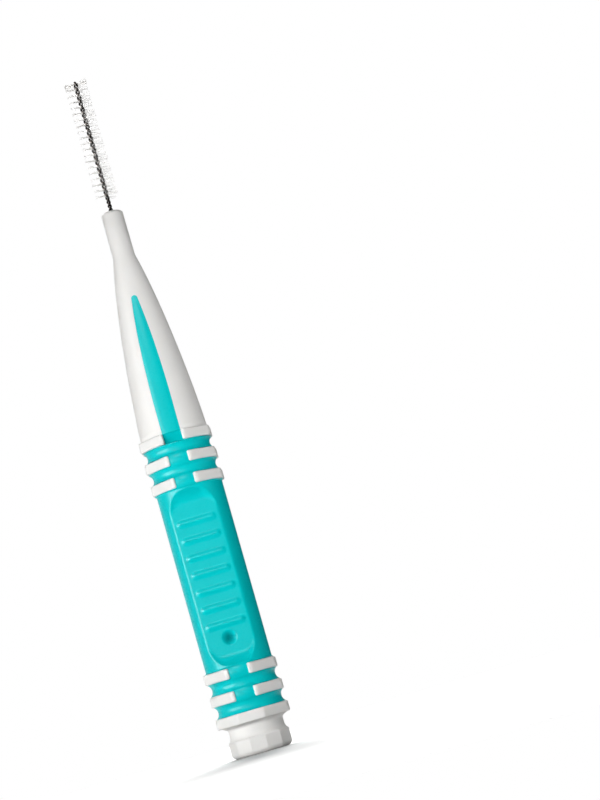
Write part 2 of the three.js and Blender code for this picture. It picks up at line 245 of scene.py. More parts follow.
# One strand along Z, from -1 to 1, with a slightly swollen cut at each end.
cut_share = CUT_LENGTH / STRAND_REACH
half_strand = [(1.0, share) for share in STRAND_RINGS]
half_strand += [(1.0, 1.0 - 2.0 * cut_share), (CUT_BULGE, 1.0 - cut_share)]
half_strand += [(CUT_BULGE, 1.0), (0.0, 1.0)]
strand_profile = [(r, -z) for r, z in reversed(half_strand)] + half_strand
strand_form = turned(strand_profile, STRAND_SIDES)
for face in strand_form.faces:
    face.material_index = int(abs(face.calc_center_median().z) > 1.0 - CUT_TINT_LENGTHS * cut_share)
strand_mesh = bpy.data.meshes.new("one_strand")
strand_form.to_mesh(strand_mesh)
strand_form.free()


def lay_strand(zone, level, angle, lifts):
    """Adds one strand to a zone of the brush, through the axis, with a lift for each of its ends."""
    along = Vector((-math.sin(angle), math.cos(angle), 0.0))
    aside = Vector((math.cos(angle), math.sin(angle), 0.0))
    reach = STRAND_REACH * (1.0 + draw.uniform(-REACH_CHANGE, 0.0))
    sways = [draw.gauss(0.0, STRAND_SWAY) for end in lifts]
    first = len(zone.verts)
    zone.from_mesh(strand_mesh)
    zone.verts.ensure_lookup_table()
    for vert in zone.verts[first:]:
        x, y, share = vert.co
        end = int(share > 0.0)
        bend = share * share
        side = x * STRAND_RADIUS + sways[end] * bend
        up = y * STRAND_RADIUS + lifts[end] * bend
        vert.co = along * (share * reach) + aside * side + Vector((0.0, 0.0, level + up))


# Clear nylon: some light passes through, and the rest meets a pale grey, which is painted shade for the
# darker surroundings a clear strand would show, so a strand is a pale line on white. The cut ends are
# painted a darker grey, painted shade for the light they scatter away, so they read as darker dots. A
# faint mottling stands for the drawn surface.
NYLON_LIGHT = "#eae9e7"
NYLON_GREY = "#dad8d5"
NYLON_MOTTLE = 0.4
NYLON_IOR = 1.53
CUT_COLOUR = "#b4b1ad"
CUT_GLOSS = (0.4, 0.7)

nylon, tree = new_material("clear_nylon_monofilament")
clear = add(tree, "ShaderNodeBsdfPrincipled", {
    "Base Color": blend(tree, clouds(tree, NYLON_MOTTLE), linear(NYLON_GREY), linear(NYLON_LIGHT)),
    "Roughness": 0.25,
    "IOR": NYLON_IOR,
    "Transmission Weight": 0.4,
})
add(tree, "ShaderNodeOutputMaterial", {"Surface": clear.outputs["BSDF"]})

cut_nylon, tree = new_material("cut_nylon_ends")
cut = add(tree, "ShaderNodeBsdfPrincipled", {
    "Base Color": linear(CUT_COLOUR),
    "Roughness": spread(tree, clouds(tree, NYLON_MOTTLE), CUT_GLOSS),
    "IOR": NYLON_IOR,
    "Transmission Weight": 0.2,
})
add(tree, "ShaderNodeOutputMaterial", {"Surface": cut.outputs["BSDF"]})

draw = random.Random(STRAND_SEED)
strand_top = wire_tip - STRAND_TOP_MARGIN
zone_length = (strand_top - BARE_TOP) / len(bristle_nodes)
strand_pitch = BRISTLE_PITCH / STRANDS_PER_TURN
for number, node in enumerate(bristle_nodes):
    zone_low = BARE_TOP + number * zone_length
    zone = bmesh.new()
    for i in range(round(zone_length / strand_pitch)):
        level = zone_low + (i + 0.5) * strand_pitch + draw.gauss(0.0, STRAND_DRIFT)
        lay_strand(zone, level, twist(level), [draw.gauss(0.0, STRAND_LIFT) for end in range(2)])
    if node == "tip_bristles":
        for i in range(TUFT_STRANDS):
            level = draw.uniform(*TUFT_LEVELS)
            lifts = [draw.gauss(0.0, TUFT_LIFT), draw.uniform(*TUFT_RISE)]
            lay_strand(zone, level, math.radians(TUFT_TURN) + draw.gauss(0.0, TUFT_FAN), lifts)
    strands = finished("nylon_" + node, zone, [nylon, cut_nylon], sharp_angle=60.0)
    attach(strands, "root")
    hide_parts(node)


# The handle core
# One hard moulding of white polypropylene: a twelve-sided foot, a groove, an eight-sided flange,
# a rod that runs unseen through the grip, notched eight-sided ribs and collar, and a cone with a neck.
# The four faces of the flange and ribs that are square to the front are narrower than the others.
FOOT_HEIGHT = 2.05
FOOT_SIDES = 12
FOOT_RADIUS = 3.54
FOOT_CORNER_ROUND = 0.3
FOOT_BOTTOM_ROUND = 0.6
FOOT_BOTTOM_STEPS = 8
FOOT_TOP_ROUND = 0.3
FOOT_TOP_STEPS = 5
GROOVE_HEIGHT = 1.57
GROOVE_RADIUS = 3.12
GROOVE_FILLET = 0.2
FOOT_SLOPE = (0.28, 0.5)
FLANGE_SLOPE = (0.66, 0.34)
SLOPE_STEPS = 6
FLANGE_HEIGHT = 1.18
RIB_HEIGHT = 1.17
RIB_FLAT = 4.1
RIB_FACE_WIDTH = 3.0
RIB_CORNER_ROUND = 0.5
RIB_END_ROUND = 0.2
RIB_END_SEGMENTS = 5
RIB_END_MARGIN = 0.1
RIB_EDGE_ROUND = 0.16
RIB_EDGE_SEGMENTS = 4
CORNER_SEGMENTS = 6
SHARP_TURN = 30.0
SCALLOP_HEIGHT = 1.36
GRIP_LENGTH = 20.72
CONE_LENGTH = 21.44
NOTCH_WIDTH = 2.14
ROD_RADIUS = 1.84
CONE_RADII = (3.88, 3.69, 2.71, 1.29)
CONE_SHARES = (0.0, 0.249, 0.73, 1.0)
CONE_SEAM = 0.16
SEAM_STEP = 0.3
CONE_STEPS = 60
CONE_HALVINGS = 30
NECK_TOP_RADIUS = 1.26
NECK_CHAMFER = (0.42, 0.33)
CHAMFER_FULLNESS = 0.7
CHAMFER_STEPS = 6
WIRE_BORE_RADIUS = 0.31
WIRE_BORE_DEPTH = 5.2
WIRE_BORE_STEPS = 32
TONGUE_STRAIGHT = 4.2
TONGUE_BEND = (1.0, 7.0)
TONGUE_TIP = 53.25
TONGUE_TIP_WIDTH = 0.7
TONGUE_DEPTH = 0.75
TONGUE_LEVELS = 40
CHANNEL_REACH = 5.0
CHANNEL_MARGINS = (2.0, 1.0)
TURNED_STEPS = 160
SINK = 0.2

flange_low = FOOT_HEIGHT + GROOVE_HEIGHT
flange_top = flange_low + FLANGE_HEIGHT
grip_low = flange_top + 2.0 * (SCALLOP_HEIGHT + RIB_HEIGHT)
grip_top = grip_low + GRIP_LENGTH
rib_levels = [flange_top + SCALLOP_HEIGHT, grip_low - RIB_HEIGHT,
              grip_top, grip_top + RIB_HEIGHT + SCALLOP_HEIGHT]
collar_low = grip_top + 2.0 * (RIB_HEIGHT + SCALLOP_HEIGHT)
collar_top = collar_low + RIB_HEIGHT
neck_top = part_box("handle_core")[1].z / MM


def cone_point(t):
    """The cone's outline at t from 0 to 1, a cubic curve drawn by its four control points."""
    weights = ((1 - t) ** 3, 3 * t * (1 - t) ** 2, 3 * t * t * (1 - t), t ** 3)
    radius = sum(w * r for w, r in zip(weights, CONE_RADII))
    share = sum(w * s for w, s in zip(weights, CONE_SHARES))
    return radius, collar_top + share * CONE_LENGTH


def cone_radius(level):
    """The cone's radius at a level, found by halving."""
    low, high = 0.0, 1.0
    for _ in range(CONE_HALVINGS):
        middle = (low + high) / 2.0
        if cone_point(middle)[1] < level:
            low = middle
        else:
            high = middle
    return cone_point(low)[0]


def tongue_half_width(level):
    """The tongue is straight above the collar, then curves in to its tip, which is a half circle."""
    tip_round = TONGUE_TIP_WIDTH / 2.0
    shoulder = TONGUE_TIP - tip_round
    if level > shoulder:
        return math.sqrt(max(0.0, tip_round ** 2 - (level - shoulder) ** 2))
    rise = max(0.0, level - collar_top - TONGUE_STRAIGHT)
    bend_width, bend_rise = TONGUE_BEND
    whole_rise = shoulder - collar_top - TONGUE_STRAIGHT
    curve = whole_rise - 2.0 * bend_rise
    t = (math.sqrt(bend_rise ** 2 + curve * rise) - bend_rise) / curve
    return (1 - t) ** 2 * NOTCH_WIDTH / 2.0 + 2 * t * (1 - t) * bend_width + t * t * tip_round


def ordered(outline):
    """The points of a convex outline in the order of their bearing from its middle."""
    return sorted(outline, key=lambda spot: math.atan2(spot.y, spot.x))


def bar(corners, rows, corner_round):
    """An upright bar with rounded corners, through rows of (inset, level)."""
    shape = bmesh.new()
    shape.faces.new([shape.verts.new((x, y, 0.0)) for x, y in corners])
    bmesh.ops.bevel(shape, geom=shape.verts[:], offset=corner_round * math.tan(math.pi / len(corners)),
                    offset_type="OFFSET", affect="VERTICES", segments=CORNER_SEGMENTS,
                    profile=0.5, material=-1)
    outline = ordered([vert.co.copy() for vert in shape.verts])
    shape.clear()
    flat = max(y for x, y in corners)
    loops = []
    for inset, level in rows:
        size = 1.0 - inset / flat
        loops.append([shape.verts.new((spot.x * size, spot.y * size, level)) for spot in outline])
    for below, above in zip(loops, loops[1:]):
        for i in range(len(below)):
            shape.faces.new((below[i - 1], below[i], above[i], above[i - 1]))
    shape.faces.new(loops[0])
    shape.faces.new(loops[-1])
    bmesh.ops.recalc_face_normals(shape, faces=shape.faces)
    return shape


def even_shares(steps):
    """Even shares from 0 to 1."""
    return [i / steps for i in range(steps + 1)]


def quarter_round(radius, steps):
    """(inset, rise) points of an edge that is rounded over, from its lower face to its side."""
    turns = [math.radians(90.0) * i / steps for i in range(steps + 1)]
    return [(radius * (1.0 - math.sin(turn)), radius * (1.0 - math.cos(turn))) for turn in turns]


def round_off(shape, edges, width, segments):
    bmesh.ops.bevel(shape, geom=edges, offset=width, offset_type="OFFSET", affect="EDGES",
                    segments=segments, profile=0.5, material=-1)


def sharp_edges(shape, low=-math.inf, high=math.inf):
    """The edges that turn sharply, between two levels."""
    found = []
    for edge in shape.edges:
        level = (edge.verts[0].co.z + edge.verts[1].co.z) / 2.0
        if low < level < high and edge.calc_face_angle(0.0) > math.radians(SHARP_TURN):
            found.append(edge)
    return found


def rib_half(low, side):
    """Half of a rib, left or right of the notches that the soft strips pass through."""
    shape = bar(rib_corners, [(0.0, low), (0.0, low + RIB_HEIGHT)], RIB_CORNER_ROUND)
    everything = shape.verts[:] + shape.edges[:] + shape.faces[:]
    cut = bmesh.ops.bisect_plane(shape, geom=everything, dist=1e-6, clear_inner=True,
                                 plane_co=(side * NOTCH_WIDTH / 2.0, 0, 0), plane_no=(side, 0, 0))
    rim = [part for part in cut["geom_cut"] if isinstance(part, bmesh.types.BMEdge)]
    bmesh.ops.edgeloop_fill(shape, edges=rim)
    bmesh.ops.recalc_face_normals(shape, faces=shape.faces)
    uprights = sharp_edges(shape, low + RIB_END_MARGIN, low + RIB_HEIGHT - RIB_END_MARGIN)
    round_off(shape, uprights, RIB_END_ROUND, RIB_END_SEGMENTS)
    round_off(shape, sharp_edges(shape), RIB_EDGE_ROUND, RIB_EDGE_SEGMENTS)
    return shape


def tool(shape):
    """A temporary object for a join or a cut, still in millimetres."""
    mesh = bpy.data.meshes.new("tool")
    shape.to_mesh(mesh)
    shape.free()
    body = bpy.data.objects.new("tool", mesh)
    bpy.context.scene.collection.objects.link(body)
    return body


def moulded(first, *steps):
    """Joins or cuts a shape with others, one step after another, and gives the result back."""
    body = tool(first)
    tools = [body]
    for operation, shape in steps:
        work = body.modifiers.new(operation, "BOOLEAN")
        work.operation = operation
        work.object = tool(shape)
        work.solver = "EXACT"
        tools.append(work.object)
    bpy.context.view_layer.update()
    made = bpy.data.meshes.new_from_object(body.evaluated_get(bpy.context.evaluated_depsgraph_get()))
    result = bmesh.new()
    result.from_mesh(made)
    for used in tools:
        bpy.data.objects.remove(used)
    bmesh.ops.remove_doubles(result, verts=result.verts, dist=MERGE)
    return result


# The foot, its edges rounded over, and the groove above it, which slopes out to the foot and the flange.
foot_turns = [2.0 * math.pi * (i + 0.5) / FOOT_SIDES for i in range(FOOT_SIDES)]
foot_corners = [(FOOT_RADIUS * math.sin(turn), FOOT_RADIUS * math.cos(turn)) for turn in foot_turns]
foot_rows = quarter_round(FOOT_BOTTOM_ROUND, FOOT_BOTTOM_STEPS)
top_round = quarter_round(FOOT_TOP_ROUND, FOOT_TOP_STEPS)
foot_rows += [(inset, FOOT_HEIGHT - rise) for inset, rise in reversed(top_round)]
foot = bar(foot_corners, foot_rows, FOOT_CORNER_ROUND)
slope_reach, slope_rise = FOOT_SLOPE
groove_low = FOOT_HEIGHT - slope_rise / 2.0
groove_profile = [(0.0, groove_low), (GROOVE_RADIUS + slope_reach, groove_low)]
for t in even_shares(SLOPE_STEPS):
    groove_profile.append((GROOVE_RADIUS + (1 - t) ** 2 * slope_reach / 2.0,
                           FOOT_HEIGHT + t * slope_rise))
slope_reach, slope_rise = FLANGE_SLOPE
for t in even_shares(SLOPE_STEPS):
    below = -GROOVE_FILLET * (1 - t) ** 2
    beyond = t * t * GROOVE_FILLET / slope_reach
    groove_profile.append((GROOVE_RADIUS + beyond * slope_reach,
                           flange_low - slope_rise + below + beyond * slope_rise))
rim_radius = GROOVE_RADIUS + slope_reach
groove_profile += [(rim_radius, flange_low), (rim_radius, flange_low + SINK), (0.0, flange_low + SINK)]
groove = turned(groove_profile, TURNED_STEPS)

# The flange, the hidden rod, and the ribs and collar in halves.
rib_quarter = [(RIB_FACE_WIDTH / 2.0, RIB_FLAT), (RIB_FLAT, RIB_FACE_WIDTH / 2.0)]
rib_corners = [*rib_quarter, *[(x, -y) for x, y in reversed(rib_quarter)]]
rib_corners += [(-x, -y) for x, y in rib_corners]
flange = bar(rib_corners, [(0.0, flange_low), (0.0, flange_top)], RIB_CORNER_ROUND)
round_off(flange, sharp_edges(flange), RIB_EDGE_ROUND, RIB_EDGE_SEGMENTS)
rod_low = flange_top - SINK
rod_high = collar_top + SINK
rod_profile = [(0.0, rod_low), (ROD_RADIUS, rod_low), (ROD_RADIUS, rod_high), (0.0, rod_high)]
rod = turned(rod_profile, TURNED_STEPS)
rib_halves = [rib_half(low, side) for low in (*rib_levels, collar_low) for side in (-1, 1)]

# The cone and the neck in one turned shape, with a channel front and back for the soft tongues.
cone_outline = [cone_point(t) for t in even_shares(CONE_STEPS)]
cone_low = collar_top - SINK
chamfer = []
for t in even_shares(CHAMFER_STEPS):
    pull = 2.0 * t * (1.0 - t) * (CHAMFER_FULLNESS - 0.5)
    chamfer.append((NECK_TOP_RADIUS - NECK_CHAMFER[0] * (t - pull),
                    neck_top - NECK_CHAMFER[1] * (1.0 - t - pull)))
seam_radius = CONE_RADII[0] - CONE_SEAM
seam = [(seam_radius, cone_low), (seam_radius, collar_top + SEAM_STEP * CONE_SEAM)]
above_seam = [spot for spot in cone_outline if spot[1] > collar_top + CONE_SEAM]
cone = turned([(0.0, cone_low), *seam, *above_seam, *chamfer, (0.0, neck_top)], TURNED_STEPS)

core_low = cone_low - CHANNEL_MARGINS[0]
core_high = TONGUE_TIP + CHANNEL_MARGINS[1]
channel_floor = [(radius - TONGUE_DEPTH, level) for radius, level in cone_outline if level < core_high]
channel_core = [(0.0, core_low), (channel_floor[0][0], core_low), *channel_floor]
channel_core.append((0.0, channel_floor[-1][1]))
channel_low = collar_low - SINK
rises = [math.sin(math.radians(90.0) * i / TONGUE_LEVELS) for i in range(TONGUE_LEVELS + 1)]
channel_levels = [channel_low, collar_top]
channel_levels += [collar_top + (TONGUE_TIP - collar_top) * rise for rise in rises[1:]]
channel = bmesh.new()
right_side = [(tongue_half_width(level), level) for level in channel_levels]
outline = right_side + [(-x, level) for x, level in reversed(right_side[:-1])]
corners = [channel.verts.new((x, -CHANNEL_REACH, level)) for x, level in outline]
sheet = channel.faces.new(corners)
back_lid = bmesh.ops.extrude_face_region(channel, geom=[sheet])["geom"]
back_verts = [part for part in back_lid if isinstance(part, bmesh.types.BMVert)]
bmesh.ops.translate(channel, verts=back_verts, vec=(0.0, 2.0 * CHANNEL_REACH, 0.0))
bmesh.ops.recalc_face_normals(channel, faces=channel.faces)
channel = moulded(channel, ("DIFFERENCE", turned(channel_core, TURNED_STEPS)))

bore_low = neck_top - WIRE_BORE_DEPTH
bore_profile = [(0.0, bore_low), (WIRE_BORE_RADIUS, bore_low), (WIRE_BORE_RADIUS, neck_top + SINK),
                (0.0, neck_top + SINK)]
joins = [("UNION", shape) for shape in (groove, flange, rod, *rib_halves, cone)]
cuts = [("DIFFERENCE", channel), ("DIFFERENCE", turned(bore_profile, WIRE_BORE_STEPS))]
core_shape = moulded(foot, *joins, *cuts)

# White polypropylene, moulded against a fine spark-eroded steel: a soft satin white that lets a
# little light into its skin. The grain is drawn at a tenth of a millimetre, coarser than the real one.
PLASTIC_LIGHT = "#f0efed"
PLASTIC_SHADE = "#eae9e6"
PLASTIC_FLOW = 3.0
PLASTIC_GRAIN = 0.1
PLASTIC_GLOSS = (0.42, 0.56)
PLASTIC_IOR = 1.49

plastic, tree = new_material("satin_white_polypropylene")
flow = clouds(tree, PLASTIC_FLOW, detail=4.0)
grain = clouds(tree, PLASTIC_GRAIN)
bump = add(tree, "ShaderNodeBump", {
    "Height": grain,
    "Strength": 0.08,
    "Distance": 0.02 * MM,
})
satin = add(tree, "ShaderNodeBsdfPrincipled", {
    "Base Color": blend(tree, flow, linear(PLASTIC_SHADE), linear(PLASTIC_LIGHT)),
    "Roughness": spread(tree, grain, PLASTIC_GLOSS),
    "IOR": PLASTIC_IOR,
    "Specular IOR Level": 0.06,
    "Normal": bump.outputs["Normal"],
    "Subsurface Weight": 0.12,
    "Subsurface Radius": (1.0, 0.9, 0.8),
    "Subsurface Scale": 0.4 * MM,
})
add(tree, "ShaderNodeOutputMaterial", {"Surface": satin.outputs["BSDF"]})

core = finished("moulded_handle", core_shape, [plastic], sharp_angle=40.0)
flats = core.modifiers.new("flat_faces_stay_flat", "WEIGHTED_NORMAL")
flats.keep_sharp = True
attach(core, "root")
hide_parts("handle_core")


# The soft grip
# One soft moulding of teal elastomer, injected round the core: scalloped bands between the ribs, strips
# through the notches, a grip with thumb pads, ridges and a gate dimple, and a tongue in each channel.
GRIP_RADIUS = 3.82
STRIP_RADIUS = 3.98
SCALLOP_DEPTH = 0.33
MOULD_GAP = 0.015
STRIP_LAP = 0.12
GRIP_LIP = 0.16
PAD_FLOOR = 2.74
PAD_LOW_MARGIN = 0.2
PAD_TOP_MARGIN = 0.38
PAD_REACH = 2.74
PAD_CORNER = 1.6
PAD_COVE = 1.6
PAD_RIM_ROUND = 0.14
PAD_RIM_REACH = 0.3
RIDGES = 7
RIDGE_PITCH = 1.98
RIDGE_MIDDLE = 20.65
RIDGE_HALF_WIDTH = 0.58
RIDGE_RISE = 0.22
RIDGE_REACH = 2.38
DIMPLE_LEVEL = 13.13
DIMPLE_RADIUS = 0.82
DIMPLE_DEPTH = 0.86
DIMPLE_RIM_ROUND = 0.1
COLUMNS = 208
COLUMN_CROWDING = 0.5
GRIP_CUTS = 290
SCALLOP_ROWS = 12
POCKET_DEPTHS = (0.12, 1.05)
BAND_TOP_ROUND = 0.12
BAND_TOP_INSET = 0.02
ROUND_MIDDLE = 0.3
NEAR_RIB = 0.1
SLEEVE_MERGE = 1e-4
TONGUE_INSET = 0.02

pad_low = grip_low + PAD_LOW_MARGIN
pad_top = grip_top - PAD_TOP_MARGIN
pad_middle = (pad_low + pad_top) / 2.0
pad_half_length = (pad_top - pad_low) / 2.0
sleeve_bore = ROD_RADIUS + MOULD_GAP


def soft_min(a, b, width):
    """The lower of two heights, with their crossing rounded over a width."""
    share = min(1.0, max(0.0, 0.5 + 0.5 * (b - a) / width))
    return b + (a - b) * share - width * share * (1.0 - share)


def scallop(low, high):
    """The outline of a hollow band, an arc between two levels."""
    half = (high - low) / 2.0
    arc = (half * half + SCALLOP_DEPTH ** 2) / (2.0 * SCALLOP_DEPTH)
    rows = []
    for i in range(SCALLOP_ROWS + 1):
        s = half * (2.0 * i / SCALLOP_ROWS - 1.0)
        hollow = math.sqrt(arc * arc - s * s) - (arc - SCALLOP_DEPTH)
        rows.append((STRIP_RADIUS - hollow, low + half + s))
    return rows


def pad_surface(x, level, with_dimple):
    """How far a thumb pad stands from the axis: a flat floor, coved ends, ridges and the gate dimple."""
    away = abs(level - pad_middle)
    side = max(0.0, min(abs(x), PAD_REACH) - (PAD_REACH - PAD_CORNER))
    edge = pad_half_length - PAD_COVE - PAD_CORNER + math.sqrt(PAD_CORNER ** 2 - side * side)
    share = max(0.0, (away - edge) / PAD_COVE)
    height = PAD_FLOOR + (GRIP_RADIUS - PAD_FLOOR) * share * share
    number = round((level - RIDGE_MIDDLE) / RIDGE_PITCH)
    if abs(number) <= RIDGES // 2:
        across = max(0.0, abs(x) - (RIDGE_REACH - RIDGE_HALF_WIDTH))
        off = math.hypot(across, level - RIDGE_MIDDLE - number * RIDGE_PITCH)
        height += RIDGE_RISE * (1.0 - smooth_step(0.0, RIDGE_HALF_WIDTH, off))
    if with_dimple:
        off = math.hypot(x, level - DIMPLE_LEVEL)
        wall = height + DIMPLE_DEPTH * (off / DIMPLE_RADIUS - 1.0)
        height = soft_min(height, wall, DIMPLE_RIM_ROUND)
    return height


# The sleeve's profile from the flange to the collar, grooved for each rib, then turned.
# The grip lies above the second rib, and a band above each of the others.
band_tops = [*rib_levels[1:], collar_low]
sleeve_profile = [(sleeve_bore, flange_top + MOULD_GAP)]
sleeve_profile += scallop(flange_top + MOULD_GAP, rib_levels[0] - MOULD_GAP)
for number, low in enumerate(rib_levels):
    rib_top = low + RIB_HEIGHT
    sleeve_profile += [(sleeve_bore, low - MOULD_GAP), (sleeve_bore, rib_top + MOULD_GAP)]
    if number == 1:
        sleeve_profile += [(STRIP_RADIUS, rib_top + MOULD_GAP), (STRIP_RADIUS, grip_top - MOULD_GAP)]
    else:
        sleeve_profile += scallop(rib_top + MOULD_GAP, band_tops[number] - MOULD_GAP)
ledge = collar_low - MOULD_GAP
round_middle = ROUND_MIDDLE * BAND_TOP_ROUND
sleeve_profile[-1] = (STRIP_RADIUS - BAND_TOP_INSET, ledge - BAND_TOP_ROUND)
sleeve_profile += [(STRIP_RADIUS - round_middle, ledge - round_middle),
                   (STRIP_RADIUS - BAND_TOP_ROUND, ledge), (sleeve_bore, ledge)]
sleeve = bmesh.new()
points = [sleeve.verts.new((radius, 0.0, level)) for radius, level in sleeve_profile]
lines = [sleeve.edges.new(pair) for pair in zip(points, points[1:] + points[:1])]
outer_lines = [line for line in lines if line.verts[0].co.x > GRIP_RADIUS]
long_line = max(outer_lines, key=lambda line: line.calc_length())
bmesh.ops.subdivide_edges(sleeve, edges=[long_line], cuts=GRIP_CUTS)
bmesh.ops.spin(sleeve, geom=sleeve.verts[:] + sleeve.edges[:], cent=(0, 0, 0), axis=(0, 0, 1),
               angle=2.0 * math.pi, steps=COLUMNS, use_merge=True)

# The sleeve's columns crowd towards front and back, the strips fill the notches, and the pads sink in.
notch_reach = NOTCH_WIDTH / 2.0 + STRIP_LAP
for vert in sleeve.verts:
    radius = math.hypot(vert.co.x, vert.co.y)
    level = vert.co.z
    angle = math.atan2(vert.co.x, -vert.co.y)
    angle -= COLUMN_CROWDING * math.sin(2.0 * angle) / 2.0
    in_rib = any(low - NEAR_RIB < level < low + RIB_HEIGHT + NEAR_RIB for low in rib_levels)
    in_notch = abs(STRIP_RADIUS * math.sin(angle)) < notch_reach
    if in_rib and in_notch and radius < sleeve_bore + NEAR_RIB:
        radius = STRIP_RADIUS
    on_grip = radius > GRIP_RADIUS and grip_low < level < grip_top
    if on_grip:
        from_end = min(level - grip_low, grip_top - level)
        radius = STRIP_RADIUS + (GRIP_RADIUS - STRIP_RADIUS) * smooth_step(MOULD_GAP, GRIP_LIP, from_end)
    x = radius * math.sin(angle)
    y = -radius * math.cos(angle)
    if on_grip and abs(x) < PAD_REACH + PAD_RIM_REACH:
        y = math.copysign(soft_min(abs(y), pad_surface(x, level, y < 0.0), PAD_RIM_ROUND), y)
    vert.co = (x, y, level)
bmesh.ops.remove_doubles(sleeve, verts=sleeve.verts, dist=SLEEVE_MERGE)
bmesh.ops.recalc_face_normals(sleeve, faces=sleeve.faces)

# A tongue lies in each channel of the cone, and below it a pocket slants inwards in the collar's notch.
TONGUE_COLUMNS = 24
TONGUE_ROWS = 260
TONGUE_THICKNESS = 0.5
TONGUE_SINK = 0.12
TONGUE_LEAST_REACH = 0.02
POCKET_ROUND = 0.1


def tongue_surface(x, level):
    """How far the tongue stands from the axis: flush with the cone, and sunk at the collar."""
    cone = math.sqrt((cone_radius(max(level, collar_top)) - TONGUE_INSET) ** 2 - x * x)
    below = max(0.0, collar_top - level)
    step, floor = POCKET_DEPTHS
    slant = (floor - step) * below / (collar_top - collar_low)
    return cone - step * smooth_step(0.0, POCKET_ROUND, below) - slant


for facing in (-1, 1):
    tongue = bmesh.new()
    bmesh.ops.create_grid(tongue, x_segments=TONGUE_COLUMNS, y_segments=TONGUE_ROWS, size=1.0)
    tongue_low = collar_low - TONGUE_SINK
    for vert in tongue.verts:
        level = tongue_low + (TONGUE_TIP - MOULD_GAP - tongue_low) * (vert.co.y + 1.0) / 2.0
        x = vert.co.x * max(TONGUE_LEAST_REACH, tongue_half_width(level) - MOULD_GAP)
        vert.co = (x, facing * tongue_surface(x, level), level)
    bmesh.ops.recalc_face_normals(tongue, faces=tongue.faces)
    skin = tongue.faces[:]
    inner = bmesh.ops.extrude_face_region(tongue, geom=skin, use_keep_orig=True)["geom"]
    inner_verts = [part for part in inner if isinstance(part, bmesh.types.BMVert)]
    bmesh.ops.translate(tongue, verts=inner_verts, vec=(0.0, -facing * TONGUE_THICKNESS, 0.0))
    bmesh.ops.recalc_face_normals(tongue, faces=tongue.faces)
    loose = bpy.data.meshes.new("tongue")
    tongue.to_mesh(loose)
    tongue.free()
    sleeve.from_mesh(loose)
    bpy.data.meshes.remove(loose)

# Teal thermoplastic elastomer, moulded smooth: a saturated, slightly cloudy colour with a soft sheen
# where it curves to the light. The skin's fine haze is drawn at two tenths of a millimetre, to show.
# The bottom of the dimple is painted a deeper colour: painted shade for the dark inside the deep hole.
TEAL_LIGHT = "#00cccf"
TEAL_DEEP = "#00c5c9"
TEAL_CLOUD = 2.5
TEAL_HAZE = 0.2
TEAL_GLOSS = (0.22, 0.34)
TEAL_IOR = 1.5
DIMPLE_PAINTED_SHADE = "#009ca0"
DIMPLE_SHADE_REACH = (0.4, 1.05)

elastomer, tree = new_material("teal_elastomer")
cloud = clouds(tree, TEAL_CLOUD, detail=4.0)
haze = clouds(tree, TEAL_HAZE)
# Painted shade in the dimple: the colour deepens towards the dimple's floor.
from_dimple_floor = add(tree, "ShaderNodeVectorMath", {
    0: object_place(tree),
    1: (0.0, (DIMPLE_DEPTH - PAD_FLOOR) * MM, DIMPLE_LEVEL * MM),
}, operation="DISTANCE")
dimple_shade = add(tree, "ShaderNodeMapRange", {
    "Value": from_dimple_floor.outputs["Value"],
    "From Min": DIMPLE_SHADE_REACH[0] * MM,
    "From Max": DIMPLE_SHADE_REACH[1] * MM,
    "To Min": 1.0,
    "To Max": 0.0,
})
teal = blend(tree, cloud, linear(TEAL_DEEP), linear(TEAL_LIGHT))
bump = add(tree, "ShaderNodeBump", {
    "Height": haze,
    "Strength": 0.06,
    "Distance": 0.03 * MM,
})
rubber = add(tree, "ShaderNodeBsdfPrincipled", {
    "Base Color": blend(tree, dimple_shade.outputs["Result"], teal, linear(DIMPLE_PAINTED_SHADE)),
    "Roughness": spread(tree, haze, TEAL_GLOSS),
    "IOR": TEAL_IOR,
    "Specular IOR Level": 0.045,
    "Normal": bump.outputs["Normal"],
})
add(tree, "ShaderNodeOutputMaterial", {"Surface": rubber.outputs["BSDF"]})

soft = finished("elastomer_grip", sleeve, [elastomer], sharp_angle=50.0)
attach(soft, "root")
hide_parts("soft_grip")


# The studio
# White paper with the tool standing on it, in white surroundings. A large softbox on the left and a
# small panel in front show only in the gloss, fills all round light the tool alone, and two lamps light
# the paper alone, so that it shows white and keeps a soft shadow that runs to the left.
FLOOR_REACH = 150.0
PAPER_COLOUR = "#f2f2f1"
PAPER_BOUNCE = "#a2a2a2"
PAPER_GLOW = 0.2
SURROUND_LEVEL = 0.03


def flat_sheet(name, corners):
    """A sheet of the studio between four corners in millimetres."""
    shape = bmesh.new()
    shape.faces.new([shape.verts.new(corner * MM) for corner in corners])
    mesh = bpy.data.meshes.new(name)
    shape.to_mesh(mesh)
    shape.free()
    sheet = bpy.data.objects.new(name, mesh)
    bpy.context.scene.collection.objects.link(sheet)
    return sheet


floor_signs = ((-1.0, -1.0), (1.0, -1.0), (1.0, 1.0), (-1.0, 1.0))
floor = flat_sheet("paper_floor", [Vector((x, y, 0.0)) * FLOOR_REACH for x, y in floor_signs])


def seen_directly(tree):
    """1 for what is seen by the camera, in a mirror or through clear material, and 0 for other light."""
    rays = add(tree, "ShaderNodeLightPath", {})
    mirror = add(tree, "ShaderNodeMath", {
        0: rays.outputs["Is Camera Ray"],
        1: rays.outputs["Is Glossy Ray"],
    }, operation="MAXIMUM")
    both = add(tree, "ShaderNodeMath", {
        0: mirror.outputs[0],
        1: rays.outputs["Is Transmission Ray"],
    }, operation="MAXIMUM")
    return both.outputs[0]


